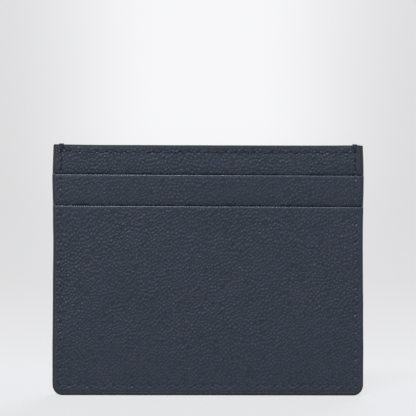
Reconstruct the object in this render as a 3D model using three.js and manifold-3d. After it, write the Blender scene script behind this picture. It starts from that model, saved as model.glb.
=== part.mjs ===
// A slim leather card holder that stands on its bottom edge.
// It has a centre pocket that opens at the top and two card slots on each face.
// Millimetres: X is the width, Y the thickness (the front faces -Y), Z the height.
// The origin is the middle of the bottom edge.

import * as THREE from "three";
import { mergeVertices } from "three/addons/utils/BufferGeometryUtils.js";
import Module from "manifold-3d";

const wasm = await Module();
wasm.setup();

// ---- Driving dimensions ----

const WIDTH = 100;
const HEIGHT = 80.6;
const TOP_STRIP = 9.8; // body panel that shows above the upper slot's mouth
const SLOT_STRIP = 10.1; // upper slot panel that shows above the lower pocket's mouth
const BOTTOM_CORNER_R = 3.5;
const TOP_CORNER_R = 0.6;
const TOP_TAPER = 0.15; // how far each side leans in along the top strip

const CENTRE_GAP = 0.4; // the empty centre pocket
const SLOT_GAP = 0.12; // an empty card slot
const PLY_GAP = 0.03; // glue line between two plies

const BODY_LEATHER = 0.6;
const SLOT_LEATHER = 0.5;
const POCKET_LEATHER = 0.65;
const LINING = 0.15;

const STIFFENER = 0.2;
const STIFFENER_MARGIN = 5.5; // from the stiffener's edges to the holder's edges
const TAPE = 0.15;
const TAPE_WIDTH = 5;
const TAPE_DROP = 1.5; // from a mouth's painted edge down to its tape
const RECESS_CLEARANCE = 0.05; // around a stiffener or tape let into the flesh side

const SLOT_STOP = 13.6; // height of the row of stitches that closes the upper slot
const STOP_SEAM_BITE = 0.12; // how far that row pulls into the body panel
const SLOT_OVERLAP = 12; // upper slot panel hidden behind the lower pocket
const LINING_HEM = 2; // upper slot lining below the seam that closes the slot

const SIDE_PAINT = 0.6;
const BOTTOM_PAINT = 0.9;
const TOP_PAINT = 0.4;
const MOUTH_PAINT = 0.35;
const PAINT_ROUND = 0.45; // rounding of the burnished outer edge
const MOUTH_ROUND = 0.25;
const PAINT_GAP = 0.03; // between a paint coat and the cut edges that it covers

const THREAD_WIDTH = 0.5;
const THREAD_DEPTH = 0.22;
const THREAD_SINK = 0.03; // how far the thread's face lies below the leather
const THREAD_CLEARANCE = 0.05;
const WRAP_RISE = 0.25; // thread that stands proud where it wraps over the top edge
const SIDE_SEAM_INSET = 2.5;
const BOTTOM_SEAM_INSET = 3;
const TOP_SEAM_INSET = 2.3;
const TOP_SEAM_CLIMB = 2.6; // length, across, of the rising stitch at each end

const ROUND_SEGMENTS = 8;

// ---- Heights, and depths from the centre plane outward ----

const UPPER_MOUTH = HEIGHT - TOP_STRIP;
const LOWER_MOUTH = UPPER_MOUTH - SLOT_STRIP;

const SIDE_INSET = SIDE_PAINT + PAINT_GAP;
const BOTTOM_INSET = BOTTOM_PAINT + PAINT_GAP;
const TOP_INSET = TOP_PAINT + PAINT_GAP;
const MOUTH_INSET = MOUTH_PAINT + PAINT_GAP;

// A ply that starts at a depth: its inner and outer faces.
function ply(inner, thickness) {
  return { inner, outer: inner + thickness };
}

const centreLining = ply(CENTRE_GAP / 2, LINING);
const body = ply(centreLining.outer + PLY_GAP, BODY_LEATHER);
const slotLining = ply(body.outer + SLOT_GAP, LINING);
const slotPanel = ply(slotLining.outer + PLY_GAP, SLOT_LEATHER);
const pocketLining = ply(slotPanel.outer + SLOT_GAP, LINING);
const pocketPanel = ply(pocketLining.outer + PLY_GAP, POCKET_LEATHER);

// ---- Finishes ----

const FINISHES = {
  leather: { color: 0x383e49, roughness: 0.55, metalness: 0 },
  lining: { color: 0x23262d, roughness: 0.9, metalness: 0 },
  stiffener: { color: 0x6f6253, roughness: 0.85, metalness: 0 },
  thread: { color: 0x3b4252, roughness: 0.5, metalness: 0 },
  edge_paint: { color: 0x37373a, roughness: 0.4, metalness: 0 },
};

// ---- Solids ----

function toSolid(geometry) {
  const bare = geometry.index ? geometry.toNonIndexed() : geometry.clone();
  bare.deleteAttribute("normal");
  bare.deleteAttribute("uv");
  const merged = mergeVertices(bare, 1e-4);
  return new wasm.Manifold(
    new wasm.Mesh({
      numProp: 3,
      vertProperties: merged.attributes.position.array,
      triVerts: new Uint32Array(merged.index.array),
    }),
  );
}

function toGeometry(solid) {
  const mesh = solid.getMesh();
  const geometry = new THREE.BufferGeometry();
  geometry.setAttribute("position", new THREE.BufferAttribute(mesh.vertProperties, 3));
  geometry.setIndex(new THREE.BufferAttribute(mesh.triVerts, 1));
  geometry.computeVertexNormals();
  return geometry;
}

function union(solids) {
  return solids.reduce((whole, next) => whole.add(next));
}

// A box between two opposite corners.
function box(low, high) {
  const size = high.map((value, axis) => value - low[axis]);
  const middle = high.map((value, axis) => (value + low[axis]) / 2);
  return toSolid(new THREE.BoxGeometry(...size).translate(...middle));
}

// A front-half box: width and height ranges, and depths measured outward from the centre plane.
function frontBox([x0, x1], [inner, outer], [z0, z1]) {
  return box([x0, -outer, z0], [x1, -inner, z1]);
}

// A width and height outline made into a slab of the front half between two depths.
function slab(shape, { inner, outer }) {
  const settings = { depth: outer - inner, bevelEnabled: false, curveSegments: ROUND_SEGMENTS };
  const geometry = new THREE.ExtrudeGeometry(shape, settings);
  return toSolid(geometry.rotateX(Math.PI / 2).translate(0, -inner, 0));
}

// The half width at a height: the sides lean in along the top strip.
function halfWidthAt(z) {
  const lean = Math.max(0, z - UPPER_MOUTH) / TOP_STRIP;
  return WIDTH / 2 - TOP_TAPER * lean;
}

// The holder's outline, set in from its sides, between two heights, with its lower and upper
// corners rounded.
function outline(inset, low, high, lowR, highR) {
  const lowX = halfWidthAt(low) - inset;
  const kneeX = halfWidthAt(UPPER_MOUTH) - inset;
  const highX = halfWidthAt(high) - inset;
  const kneeShows = high > UPPER_MOUTH;
  const shape = new THREE.Shape();
  shape.moveTo(-lowX + lowR, low);
  shape.lineTo(lowX - lowR, low);
  if (lowR > 0) shape.absarc(lowX - lowR, low + lowR, lowR, -Math.PI / 2, 0, false);
  if (kneeShows) shape.lineTo(kneeX, UPPER_MOUTH);
  shape.lineTo(highX, high - highR);
  if (highR > 0) shape.absarc(highX - highR, high - highR, highR, 0, Math.PI / 2, false);
  shape.lineTo(-highX + highR, high);
  if (highR > 0) shape.absarc(-highX + highR, high - highR, highR, Math.PI / 2, Math.PI, false);
  if (kneeShows) shape.lineTo(-kneeX, UPPER_MOUTH);
  shape.lineTo(-lowX, low + lowR);
  if (lowR > 0) shape.absarc(-lowX + lowR, low + lowR, lowR, Math.PI, 1.5 * Math.PI, false);
  return shape;
}

// A ply that reaches the sides' and the bottom's paint, up to a height.
function fullPly(depths, top) {
  const cornerR = BOTTOM_CORNER_R - BOTTOM_INSET;
  return slab(outline(SIDE_INSET, BOTTOM_INSET, top, cornerR, 0), depths);
}

// A ply that reaches the sides' paint, between two heights.
function stripPly(depths, low, high) {
  return slab(outline(SIDE_INSET, low, high, 0, 0), depths);
}

// A reinforcement let into the inner face of a ply, and the recess that takes it.
function inlay(host, thickness, margin, low, high) {
  const reach = WIDTH / 2 - margin;
  const room = RECESS_CLEARANCE;
  const piece = frontBox([-reach, reach], [host.inner, host.inner + thickness], [low, high]);
  const recess = frontBox(
    [-reach - room, reach + room],
    [host.inner - room, host.inner + thickness + room],
    [low - room, high + room],
  );
  return { piece, recess };
}

// A coat of paint along an upper cut edge, with its outer brow rounded.
function edgeCoat(inner, outer, top, thickness, roundR) {
  const profile = new THREE.Shape();
  profile.moveTo(inner, top - thickness);
  profile.lineTo(outer, top - thickness);
  profile.lineTo(outer, top - roundR);
  profile.absarc(outer - roundR, top - roundR, roundR, 0, Math.PI / 2, false);
  profile.lineTo(inner, top);
  const length = 2 * (halfWidthAt(top) - SIDE_INSET);
  const settings = { depth: length, bevelEnabled: false, curveSegments: ROUND_SEGMENTS };
  const outward = new THREE.Vector3(0, -1, 0);
  const upward = new THREE.Vector3(0, 0, 1);
  const along = new THREE.Vector3(-1, 0, 0);
  const turn = new THREE.Matrix4().makeBasis(outward, upward, along);
  const geometry = new THREE.ExtrudeGeometry(profile, settings);
  return toSolid(geometry.applyMatrix4(turn).translate(length / 2, 0, 0));
}

// ---- Threads ----

// The depths of a thread that lies in a groove of a ply's outer face.
function threadDepths(host, room) {
  const face = host.outer - THREAD_SINK;
  return { inner: face - THREAD_DEPTH - room, outer: face + (room > 0 ? THREAD_SINK + room : 0) };
}

// A run of thread in a ply's face that follows the holder's outline inside the seam's inset.
function outlineRun(host, low, high, room) {
  const half = THREAD_WIDTH / 2 + room;
  const depths = threadDepths(host, room);
  const seamR = BOTTOM_CORNER_R - BOTTOM_SEAM_INSET;
  const bend = Math.max(seamR, 0) + half;
  const outerEdge = outline(SIDE_SEAM_INSET - half, BOTTOM_SEAM_INSET - half, HEIGHT * 2, bend, 0);
  const innerEdge = outline(SIDE_SEAM_INSET + half, BOTTOM_SEAM_INSET + half, HEIGHT * 3, 0, 0);
  const ring = slab(outerEdge, depths).subtract(slab(innerEdge, ply(depths.inner - 1, 5)));
  return ring.intersect(frontBox([-WIDTH, WIDTH], [0, WIDTH], [low, high]));
}

// The front run of the perimeter seam: up each side over the steps at the mouths, and along
// the bottom. The wraps at its two upper ends are made apart.
function frontSeam(room) {
  const above = PAINT_GAP + THREAD_CLEARANCE - room;
  const rise = THREAD_DEPTH + 2 * room;
  const steps = [
    { mouth: LOWER_MOUTH, low: slotPanel, high: pocketPanel },
    { mouth: UPPER_MOUTH, low: body, high: slotPanel },
  ];
  const runs = [
    outlineRun(pocketPanel, 0, LOWER_MOUTH + above + rise, room),
    outlineRun(slotPanel, LOWER_MOUTH + above, UPPER_MOUTH + above + rise, room),
    outlineRun(body, UPPER_MOUTH + above, HEIGHT + THREAD_CLEARANCE + WRAP_RISE, room),
  ];
  const half = THREAD_WIDTH / 2 + room;
  const x = WIDTH / 2 - SIDE_SEAM_INSET;
  for (const { mouth, low, high } of steps) {
    const depths = [threadDepths(low, room).inner, threadDepths(high, room).outer];
    for (const side of [-x, x]) {
      runs.push(frontBox([side - half, side + half], depths, [mouth + above, mouth + above + rise]));
    }
  }
  return union(runs);
}

// The wraps that carry the perimeter seam over the top edge from the front to the back.
function seamWraps() {
  const half = THREAD_WIDTH / 2;
  const reach = threadDepths(body, 0).outer;
  const low = HEIGHT + THREAD_CLEARANCE;
  return [-1, 1].map((side) => {
    const x = side * (halfWidthAt(HEIGHT) - SIDE_SEAM_INSET);
    return box([x - half, -reach, low], [x + half, reach, low + WRAP_RISE]);
  });
}

// The row along a body panel's top, whose end stitches climb towards the wraps.
function topSeam(room) {
  const half = THREAD_WIDTH / 2 + room;
  const row = HEIGHT - TOP_SEAM_INSET;
  const endX = halfWidthAt(HEIGHT) - SIDE_SEAM_INSET - THREAD_WIDTH - 2 * THREAD_CLEARANCE;
  const endZ = HEIGHT - TOP_INSET - half - THREAD_CLEARANCE;
  const bendX = endX - TOP_SEAM_CLIMB;
  const shape = new THREE.Shape();
  shape.moveTo(-bendX, row - half);
  shape.lineTo(bendX, row - half);
  shape.lineTo(endX + room, endZ - half);
  shape.lineTo(endX + room, endZ + half);
  shape.lineTo(bendX, row + half);
  shape.lineTo(-bendX, row + half);
  shape.lineTo(-endX - room, endZ + half);
  shape.lineTo(-endX - room, endZ - half);
  return slab(shape, threadDepths(body, room));
}

// The hidden row that sews the upper slot's lining to the body panel and closes the slot.
function slotStopSeam(room) {
  const half = THREAD_WIDTH / 2 + room;
  const reach = WIDTH / 2 - SIDE_SEAM_INSET - THREAD_WIDTH - 2 * THREAD_CLEARANCE + room;
  const depths = [body.outer - STOP_SEAM_BITE - room, slotLining.outer + room];
  return frontBox([-reach, reach], depths, [SLOT_STOP - half, SLOT_STOP + half]);
}

// ---- The pieces of one half, outward from the centre plane ----

function halfPieces() {
  const perimeterGroove = frontSeam(THREAD_CLEARANCE);
  const stiffener = inlay(
    body,
    STIFFENER,
    STIFFENER_MARGIN,
    STIFFENER_MARGIN,
    HEIGHT - STIFFENER_MARGIN,
  );
  const tapeMargin = SIDE_SEAM_INSET + TAPE_DROP;
  const upperTapeTop = UPPER_MOUTH - MOUTH_PAINT - TAPE_DROP;
  const upperTape = inlay(slotPanel, TAPE, tapeMargin, upperTapeTop - TAPE_WIDTH, upperTapeTop);
  const lowerTapeTop = LOWER_MOUTH - MOUTH_PAINT - TAPE_DROP;
  const lowerTape = inlay(pocketPanel, TAPE, tapeMargin, lowerTapeTop - TAPE_WIDTH, lowerTapeTop);

  const bodyPanel = fullPly(body, HEIGHT - TOP_INSET)
    .subtract(stiffener.recess)
    .subtract(topSeam(THREAD_CLEARANCE))
    .subtract(slotStopSeam(THREAD_CLEARANCE))
    .subtract(perimeterGroove);
  const upperSlotLining = stripPly(slotLining, SLOT_STOP - LINING_HEM, UPPER_MOUTH - MOUTH_INSET)
    .subtract(slotStopSeam(THREAD_CLEARANCE));
  const upperSlotPanel = stripPly(slotPanel, LOWER_MOUTH - SLOT_OVERLAP, UPPER_MOUTH - MOUTH_INSET)
    .subtract(upperTape.recess)
    .subtract(perimeterGroove);
  const lowerPocketPanel = fullPly(pocketPanel, LOWER_MOUTH - MOUTH_INSET)
    .subtract(lowerTape.recess)
    .subtract(perimeterGroove);

  const topCoat = edgeCoat(centreLining.inner, body.outer, HEIGHT, TOP_PAINT, MOUTH_ROUND);
  const upperCoat = edgeCoat(
    slotLining.inner,
    slotPanel.outer,
    UPPER_MOUTH,
    MOUTH_PAINT,
    MOUTH_ROUND,
  );
  const lowerCoat = edgeCoat(
    pocketLining.inner,
    pocketPanel.outer,
    LOWER_MOUTH,
    MOUTH_PAINT,
    MOUTH_ROUND,
  );

  return {
    centre_lining: [fullPly(centreLining, HEIGHT - TOP_INSET), "lining"],
    body_stiffener: [stiffener.piece, "stiffener"],
    body_panel: [bodyPanel, "leather"],
    top_seam_thread: [topSeam(0), "thread"],
    top_edge_paint: [topCoat.subtract(perimeterGroove), "edge_paint"],
    upper_slot_lining: [upperSlotLining, "lining"],
    slot_stop_thread: [slotStopSeam(0), "thread"],
    upper_mouth_tape: [upperTape.piece, "lining"],
    upper_slot_panel: [upperSlotPanel, "leather"],
    upper_mouth_edge_paint: [upperCoat.subtract(perimeterGroove), "edge_paint"],
    lower_pocket_lining: [fullPly(pocketLining, LOWER_MOUTH - MOUTH_INSET), "lining"],
    lower_mouth_tape: [lowerTape.piece, "lining"],
    lower_pocket_panel: [lowerPocketPanel, "leather"],
    lower_mouth_edge_paint: [lowerCoat.subtract(perimeterGroove), "edge_paint"],
  };
}

// ---- The pieces that both halves share ----

// The holder's outline as a slab with burnished round edges, as thick as two plies' outer faces.
function burnishedSlab(host) {
  const shape = outline(0, 0, HEIGHT, BOTTOM_CORNER_R, TOP_CORNER_R);
  const settings = {
    depth: 2 * (host.outer - PAINT_ROUND),
    bevelSize: PAINT_ROUND,
    bevelThickness: PAINT_ROUND,
    bevelOffset: -PAINT_ROUND,
    bevelSegments: 4,
    curveSegments: ROUND_SEGMENTS,
  };
  const geometry = new THREE.ExtrudeGeometry(shape, settings);
  return toSolid(geometry.rotateX(Math.PI / 2).translate(0, host.outer - PAINT_ROUND, 0));
}

// The paint on the perimeter's cut edges. It is thicker below each mouth, as the stack is.
function perimeterPaint() {
  const level = (host, low, high) =>
    burnishedSlab(host).intersect(box([-WIDTH, -WIDTH, low], [WIDTH, WIDTH, high]));
  const coats = union([
    level(pocketPanel, 0, LOWER_MOUTH),
    level(slotPanel, LOWER_MOUTH - 1, UPPER_MOUTH),
    level(body, UPPER_MOUTH - 1, HEIGHT),
  ]);
  const cornerR = BOTTOM_CORNER_R - BOTTOM_PAINT;
  const inside = outline(SIDE_PAINT, BOTTOM_PAINT, HEIGHT + 1, cornerR, 0);
  const stack = slab(inside, ply(-pocketPanel.outer - 1, 2 * pocketPanel.outer + 2));
  return coats.subtract(stack);
}

function sharedPieces() {
  const paint = perimeterPaint();
  const split = BOTTOM_CORNER_R;
  const above = box([-WIDTH, -WIDTH, split + PAINT_GAP], [WIDTH, WIDTH, HEIGHT + 1]);
  const below = box([-WIDTH, -WIDTH, -1], [WIDTH, WIDTH, split]);
  const left = box([-WIDTH, -WIDTH, 0], [0, WIDTH, HEIGHT + 1]);
  const front = frontSeam(0);
  const seam = union([front, front.rotate([0, 0, 180]), ...seamWraps()]);
  return {
    perimeter_seam_thread: [seam, "thread"],
    left_edge_paint: [paint.intersect(above).intersect(left), "edge_paint"],
    right_edge_paint: [paint.intersect(above).subtract(left), "edge_paint"],
    bottom_edge_paint: [paint.intersect(below), "edge_paint"],
  };
}

// ---- The assembly ----

function meshesOf(pieces, prefix) {
  const group = new THREE.Group();
  for (const [name, [solid, finish]] of Object.entries(pieces)) {
    const material = new THREE.MeshStandardMaterial(FINISHES[finish]);
    const mesh = new THREE.Mesh(toGeometry(solid), material);
    mesh.name = prefix + name;
    group.add(mesh);
  }
  return group;
}

const cardHolder = new THREE.Group();
const frontHalf = meshesOf(halfPieces(), "front_");
const backHalf = meshesOf(halfPieces(), "back_");
backHalf.rotation.z = Math.PI;
cardHolder.add(frontHalf, backHalf, meshesOf(sharedPieces(), ""));

export default cardHolder;
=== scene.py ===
"""The looks of the leather card holder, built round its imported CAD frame.

Shapes are worked out in millimetres in the frame of one half: x to the right as seen from
outside that half, out away from the holder's centre plane, z up. place() turns them into the
row frame. Both halves share the painted sides and bottom and the perimeter seam.
"""
import math
from typing import Callable, NamedTuple

import bpy
import numpy as np
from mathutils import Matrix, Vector


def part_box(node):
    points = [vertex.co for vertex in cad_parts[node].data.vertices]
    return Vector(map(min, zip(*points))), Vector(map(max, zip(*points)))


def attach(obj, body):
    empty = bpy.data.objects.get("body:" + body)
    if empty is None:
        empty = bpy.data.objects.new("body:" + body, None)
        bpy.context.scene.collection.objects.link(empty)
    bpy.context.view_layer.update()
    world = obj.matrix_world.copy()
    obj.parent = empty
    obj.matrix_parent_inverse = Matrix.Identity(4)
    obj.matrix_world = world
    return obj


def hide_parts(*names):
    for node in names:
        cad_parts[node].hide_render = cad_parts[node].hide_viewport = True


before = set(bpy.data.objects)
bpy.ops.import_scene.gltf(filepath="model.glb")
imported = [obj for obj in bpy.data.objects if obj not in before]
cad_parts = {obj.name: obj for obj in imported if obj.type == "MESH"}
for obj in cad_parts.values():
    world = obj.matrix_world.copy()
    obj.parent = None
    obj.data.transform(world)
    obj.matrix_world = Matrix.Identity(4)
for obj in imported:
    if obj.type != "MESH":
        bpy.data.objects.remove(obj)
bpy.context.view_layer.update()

MM = 0.001
SIDES = ("front", "back")


# ---- Sizes that the frame gives, in millimetres ----


def span(node):
    """A node's lowest and highest corner, in millimetres."""
    low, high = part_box(node)
    return np.array(low) / MM, np.array(high) / MM


def depths(node):
    """How far a node's inner and outer faces lie from the centre plane."""
    low, high = span(node)
    return tuple(sorted((abs(low[1]), abs(high[1]))))


HALF_WIDTH = span("right_edge_paint")[1][0]
TOP = span("front_top_edge_paint")[1][2]
UPPER_MOUTH = span("front_upper_mouth_edge_paint")[1][2]
LOWER_MOUTH = span("front_lower_mouth_edge_paint")[1][2]
CORNER_R = span("bottom_edge_paint")[1][2]
PANEL_LOW = span("front_lower_pocket_panel")[0][2]
PANEL_SIDE = span("front_lower_pocket_panel")[1][0]
TOP_LEAN = PANEL_SIDE - span("front_top_edge_paint")[1][0]
SIDE_INSET = HALF_WIDTH - PANEL_SIDE
THREAD = np.ptp([corner[2] for corner in span("front_slot_stop_thread")])
SEAM_X = span("perimeter_seam_thread")[1][0] - THREAD / 2
SEAM_LOW = span("perimeter_seam_thread")[0][2] + THREAD / 2
TOP_ROW = span("front_top_seam_thread")[0][2] + THREAD / 2
TOP_SEAM_END = span("front_top_seam_thread")[1][0]

BODY = depths("front_body_panel")
SLOT = depths("front_upper_slot_panel")
POCKET = depths("front_lower_pocket_panel")
SLOT_LINING = depths("front_upper_slot_lining")

# ---- Sizes of the look, in millimetres ----

# A pair with no note of its own is the amount and the cell of some noise, as waver takes them.
SIDE_SWELLS = ((71.5, 0.24, 9), (47, -0.14, 12), (13, 0.05, 9))  # height, amount, spread
MOUTH_DROP = 0.42  # a mouth's left end is this much higher than its right end
MOUTH_RISE = 0.15
MOUTH_WAVER = (0.03, 14)
TOP_DROP = 0.2
TOP_SAG = 0.01
TOP_CURL = 0.22  # the top line turns up at both ends
LINE_REACH = 8  # how far below its upper edge a ply still follows that edge's line
PAINT_WIDENS = (0.75, 0.1)  # at the top of the right and of the left side
MOUTH_LIFT = 0.12  # the middle of a mouth stands this far off the ply behind it
MOUTH_LIFT_REACH = 5
MOUTH_STEP = (0.2, 0.35)  # the side paint's step at a mouth: how far below it, and how long

GRAIN_STEP = 0.26  # the leather's mesh where it shows
SEAM_STEP = 0.13  # and near a seam
SEAM_FINE = 0.5  # how near, to each side
FOOT_SEAM_FINE = 0.45
HIDDEN_STEP = 1.5
HIDDEN_MARGIN = 2  # a ply's mesh is fine from this far behind the mouth in front of it
FOOT_TURN = 0.7  # the first rows follow a rounded foot through this angle, in radians
FOOT_ROWS = 7
RIM_STRIP = 0.05  # the last row or column of a panel's mesh lies under the paint's lip

GRAIN_CELL = 0.86
GRAIN_TALL = 1.38  # a pebble's height over its width
GRAIN_TURN = math.radians(35)  # the pebbles' loose rows run this way
GRAIN_JITTER = 0.9  # 0 would set the pebbles out in a square pattern
GRAIN_CREASE = 0.55  # a crease's width, in cells
GRAIN_DOME = 0.55  # how much lower a pebble is a cell away from its middle, as a share
GRAIN_LOWEST = 0.6  # the lowest pebble's height over the highest one's
GRAIN_DEPTH = 0.22
GRAIN_FLOW = (2.4, 22)
GRAIN_WAVER = (0.25, 1.9)
RELIEF = {"body_panel": 0.79, "upper_slot_panel": 0.57, "lower_pocket_panel": 0.79}
RELIEF_AT_FOOT = 0.4  # the grain's strength at the foot, over that from RELIEF_REACH up
RELIEF_REACH = 30
RELIEF_TILT = 0.13  # how much stronger it is at the left side than in the middle
RELIEF_PATCHES = (0.3, 9)
SIDE_PRESS = 0.7  # the grain flattens out over this width towards a side
MOUTH_PRESS = 0.9  # and over this one towards an upper edge
UNEVENNESS = ((0.05, 13), (0.014, 3.5))

SIDE_ROLL = (0.1, 0.8)  # how far a face turns down at its edge, and over what width
MOUTH_ROLL = (0.03, 0.4)
MOUTH_SHADE = 0.9  # painted shade where a ply goes behind a mouth, and how far up it reaches
MOUTH_SHADE_REACH = 0.42
MOUTH_SHADE_WAVER = (0.5, 1.2)
MOUTH_DIM = 0.16  # a fainter painted shade that reaches further up
MOUTH_DIM_REACH = 1.4
TUCK = 0.16  # a ply sinks this far behind the mouth in front of it
TUCK_REACH = 1.3
NO_MOUTH = -20  # the height of the mouth in front of a ply that has none: out of reach
SEAM_VALLEY = 0.022
SEAM_VALLEY_REACH = 0.55

STITCH_PITCH = 2.85
TOP_PITCH = 2.98
CLIMB = (2.25, 1.15)  # the top row's last stitch goes this far out and up
STITCH_SLANT = 0.24  # sideways shift of each end of a stitch
STITCH_GAP = 0.12  # from a stitch's end to its hole's middle, along the seam
STITCH_R = 0.21
STITCH_UNEVEN = 0.14  # how much the thickest stitch is thicker than the thinnest, as a share
STITCH_TAPER = 0.4  # how much thinner a stitch is at its ends, as a share
DOUBLED = 1.45  # the side seams are sewn twice over the top strip
STITCH_RISE = 0.1  # a stitch's crest above the leather's face
RISE_UNEVEN = 0.04
STITCH_DIP = 0.35  # and its ends below it
HOLE_DEPTH = 0.2
HOLE_LONG = 0.42
HOLE_WIDE = 0.2
HOLE_LEAN = 0.35  # 0 would turn the slits square to the seam
HOLE_REACH = 1.2  # nothing of a hole is left beyond this
PIT_SHADE = (0.15, 0.75)  # painted shade in a needle hole of the pockets and of the top strip
PIT_SHADE_REACH = 2  # the height over which the one turns into the other
THREAD_SHADE_REACH = 0.5  # and over which the thread's painted shade sets in

WRAP_DROP = 0.1  # from the top row down to the hole that a wrap starts in
WRAP_FOOT = ((0.5, 0.0), (0.12, 0.2))  # a strand comes out of its hole: how deep, how far up
WRAP_START = 0.5  # and bends over the edge from this far above the hole
WRAP_RISE = 0.36
WRAP_R = 0.27
WRAP_STAND = 0.17  # a strand over the top edge stands this far off the leather
WRAP_SQUARE = 0.3  # 1 would carry it over in a half round, 0 in a square
WRAP_SPREAD = 0.5
WRAP_GATHER = 0.35  # the share of that spread that is left at the holes
THREAD_SIDES = 12
STRAND_RELIEF = 0.1
STRAND_LAY = 1.1

CLOTH_STEP = 2.0
CLOTH_RIPPLE = (0.01, 6)

PAINT_LIP = 0.14
LIP_WAVER = (0.06, 2.5)
LIP_SUNK = 0.012  # a lip's edge goes this far into the leather
PAINT_FILM = 0.015
PAINT_SHOULDER = 0.6
PAINT_BITE = 0.06  # how far the paint has soaked into the cut edge
SIDE_BITE_INSET = 0.4  # from a ply's face to where that starts
RIM_BITE_INSET = 0.3
PAINT_WAVER = (0.05, 5)
PAINT_DIMPLES = (0.008, 1.1)
MOUTH_ARRIS = 0.28
TOP_ARRIS = 0.1
TOP_CORNER = 0.3  # the side paint narrows over this height at its upper end
TOP_CORNER_WIDTH = 0.3  # to this share of its width
PLY_GROOVE = 0.035
PLY_GROOVE_WIDTH = 0.07
GROOVE_POINTS = 36
RIM_LIP = 0.08
RIM_LIP_WAVER = (0.2, 2.0)
RIM_WAVER = (0.012, 2.3)
RIM_STAND_WAVER = (0.01, 1.9)
RIM_OVERLAP = 0.15  # how far a rim's coat runs on into the paint on the sides
RIM_STEP = 0.45
COAT_STEP = 0.8  # from ring to ring of the side coat
COAT_MOUTH_FINE = 0.6  # its rings lie closer this near to a mouth
COAT_TOP = 1  # and over this height at its upper ends
COAT_TOP_STEP = 0.1
COAT_CORNER_RINGS = 12

# From the centre plane out, as leather_plies gives the leather.
CLOTH_NODES = (  # each leather ply's lining, and the tape that stiffens its mouth
    ("centre_lining", None),
    ("upper_slot_lining", "upper_mouth_tape"),
    ("lower_pocket_lining", "lower_mouth_tape"),
)
RIM_NODES = ("top_edge_paint", "upper_mouth_edge_paint", "lower_mouth_edge_paint")
SIDE_PAINT_NODES = ("left_edge_paint", "right_edge_paint", "bottom_edge_paint")

# A seed stands for one pattern of noise. Those of a half's pieces step up from these.
MOUTH_SEED = 5
SIDE_COAT_SEED = 61
CLOTH_SEED = 300
RIM_SEED = 400
SIDE_SEAM_SEED = 500
TOP_SEAM_SEED = 510
STOP_SEAM_SEED = 520

# ---- Colours and light ----

LEATHER_DEEP = (0.0155, 0.0318, 0.048)
LEATHER_PALE = (0.0255, 0.0328, 0.056)
# painted shade in the grain's creases
LEATHER_CREASE_SHADE = (0.004, 0.006, 0.011)
# painted shade behind mouths and in needle holes
LEATHER_SHADE = (0.0015, 0.002, 0.004)
LEATHER_ROUGH = (0.45, 0.7)  # on a pebble and in a crease
LEATHER_SPECULAR = (0.5, 0.05)  # in the open and in full shade
SIDE_PAINT = (0.020, 0.020, 0.019)
SIDE_ROUGH = 0.42
TOP_ROUGH = 0.65
# navy edge paint, paler than the side paint in part as a painted highlight on the mouths' rims
MOUTH_PAINT_AND_HIGHLIGHT = (0.031, 0.038, 0.052)
MOUTH_ROUGH = 0.335
THREAD_DEEP = (0.020, 0.025, 0.040)
THREAD_PALE = (0.042, 0.049, 0.070)
THREAD_DARK = (0.012, 0.014, 0.025)  # painted shade on the thread over the top strip
TWILL_DEEP = (0.010, 0.012, 0.018)
TWILL_PALE = (0.028, 0.032, 0.045)
BOARD_DEEP = (0.20, 0.18, 0.15)
BOARD_PALE = (0.34, 0.31, 0.27)

CAMERA_SIDE = -0.015  # millimetres, as the two below
CAMERA_HEIGHT = 60.33
FRAME_WIDTH = 133.77  # across the picture at the front of the holder
CAMERA_ROLL = -0.07  # degrees
LENS = 150
SENSOR = 36
AMBIENT = (0.28, 0.285, 0.297)  # the studio's light on the holder
SKY = (  # the sine of the elevation, and how bright the backdrop looks there
    (-0.11, 0.815),
    (-0.09, 0.82),
    (-0.065, 0.785),
    (-0.04, 0.735),
    (0.0, 0.71),
    (0.11, 0.735),
)
SKY_SPAN = 0.12
SKY_BLUE = 1.015
GLOW = (0.93, 0.93, 0.945)
GLOW_PLACES = 8
GLOW_EDGE = (0.02, 0.13)  # the angle from its middle where a glow starts to fade and is gone
GLOW_RISE = (-0.08, 0.06)  # the sines of the elevation between which it comes in
FLOOR = (0.50, 0.50, 0.50)
FLOOR_SHARE = 0.15  # how solid the floor is at the holder's foot
FLOOR_FADE = (0.06, 0.35)  # metres from the middle
FLOOR_RADIUS = 0.6
COOL = (0.93, 0.97, 1.05)
LIGHTS = (  # name, place and size in metres, watts
    ("front_key", (-0.35, -1.63, 1.7), (0.78, 0.55), 60.0),
    ("back_key", (0.35, 1.63, 1.7), (0.78, 0.55), 60.0),
    ("left_fill", (-1.4, 0.0, 0.5), (0.6, 0.6), 4.5),
    ("right_fill", (1.4, 0.0, 0.5), (0.6, 0.6), 4.5),
)

# ---- Repeatable noise ----


def lattice(i, j, seed):
    """A repeatable number from 0 to 1 for each whole-numbered point."""
    mixed = (i * 374761393 + j * 668265263 + seed * 974634777) & 0xFFFFFFFF
    mixed = ((mixed ^ (mixed >> 13)) * 1274126177) & 0xFFFFFFFF
    return ((mixed ^ (mixed >> 16)) & 0xFFFFFF) / 0xFFFFFF


def smooth(t):
    """From 0 to 1 with soft ends."""
    t = np.clip(t, 0, 1)
    return t * t * (3 - 2 * t)


def noise(x, z, cell, seed):
    """Smooth noise from -1 to 1 whose lumps are about a cell across."""
    u, v = np.asarray(x, float) / cell, np.asarray(z, float) / cell
    i, j = np.floor(u).astype(np.int64), np.floor(v).astype(np.int64)
    a, b = smooth(u - i), smooth(v - j)
    low = lattice(i, j, seed) * (1 - a) + lattice(i + 1, j, seed) * a
    high = lattice(i, j + 1, seed) * (1 - a) + lattice(i + 1, j + 1, seed) * a
    return 2 * (low * (1 - b) + high * b) - 1


def waver(size, x, z, seed):
    """Noise of a size, which says how far it goes and how wide its lumps are."""
    amount, cell = size
    return amount * noise(x, z, cell, seed)


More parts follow.
